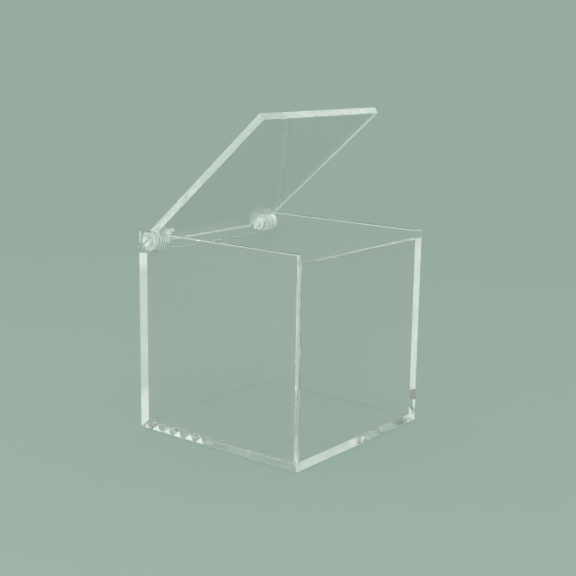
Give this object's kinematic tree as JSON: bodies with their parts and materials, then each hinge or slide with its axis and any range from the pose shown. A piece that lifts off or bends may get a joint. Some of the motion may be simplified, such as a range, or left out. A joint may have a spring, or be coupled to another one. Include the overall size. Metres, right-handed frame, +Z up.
{
  "type": "acrylic display case",
  "caption": "Clear acrylic cube display case of mitred and cemented panels, with a flat lid that turns on threaded pivots in the side walls.",
  "frame": {"origin": "middle of the case's underside, on the surface that it stands on", "axes": "+Z up, X along the hinge axis, the front wall faces -Y and the hinge is at +Y"},
  "size_m": [0.108, 0.1101, 0.1729],
  "materials": {
    "clear_sheet": "polished clear cast acrylic sheet",
    "clear_hinge": "clear turned acrylic",
    "clear_screw": "clear moulded thread",
    "frosted_washer": "lightly frosted clear plastic"
  },
  "bodies": {
    "case": {"base_panel": "clear_sheet", "front_wall": "clear_sheet", "rear_wall": "clear_sheet", "left_wall": "clear_sheet", "right_wall": "clear_sheet", "left_spacer_washer": "frosted_washer", "right_spacer_washer": "frosted_washer"},
    "lid": {"lid_panel": "clear_sheet", "left_hinge_barrel": "clear_hinge", "right_hinge_barrel": "clear_hinge", "left_pivot_screw": "clear_screw", "right_pivot_screw": "clear_screw", "left_lock_nut": "clear_hinge", "right_lock_nut": "clear_hinge"}
  },
  "joints": [
    {"name": "lid_hinge", "type": "hinge", "parent": "case", "child": "lid", "pos_m": [0, 0.0488, 0.1028], "axis": [-1, 0, 0], "range_deg": [-41, 60]}
  ]
}
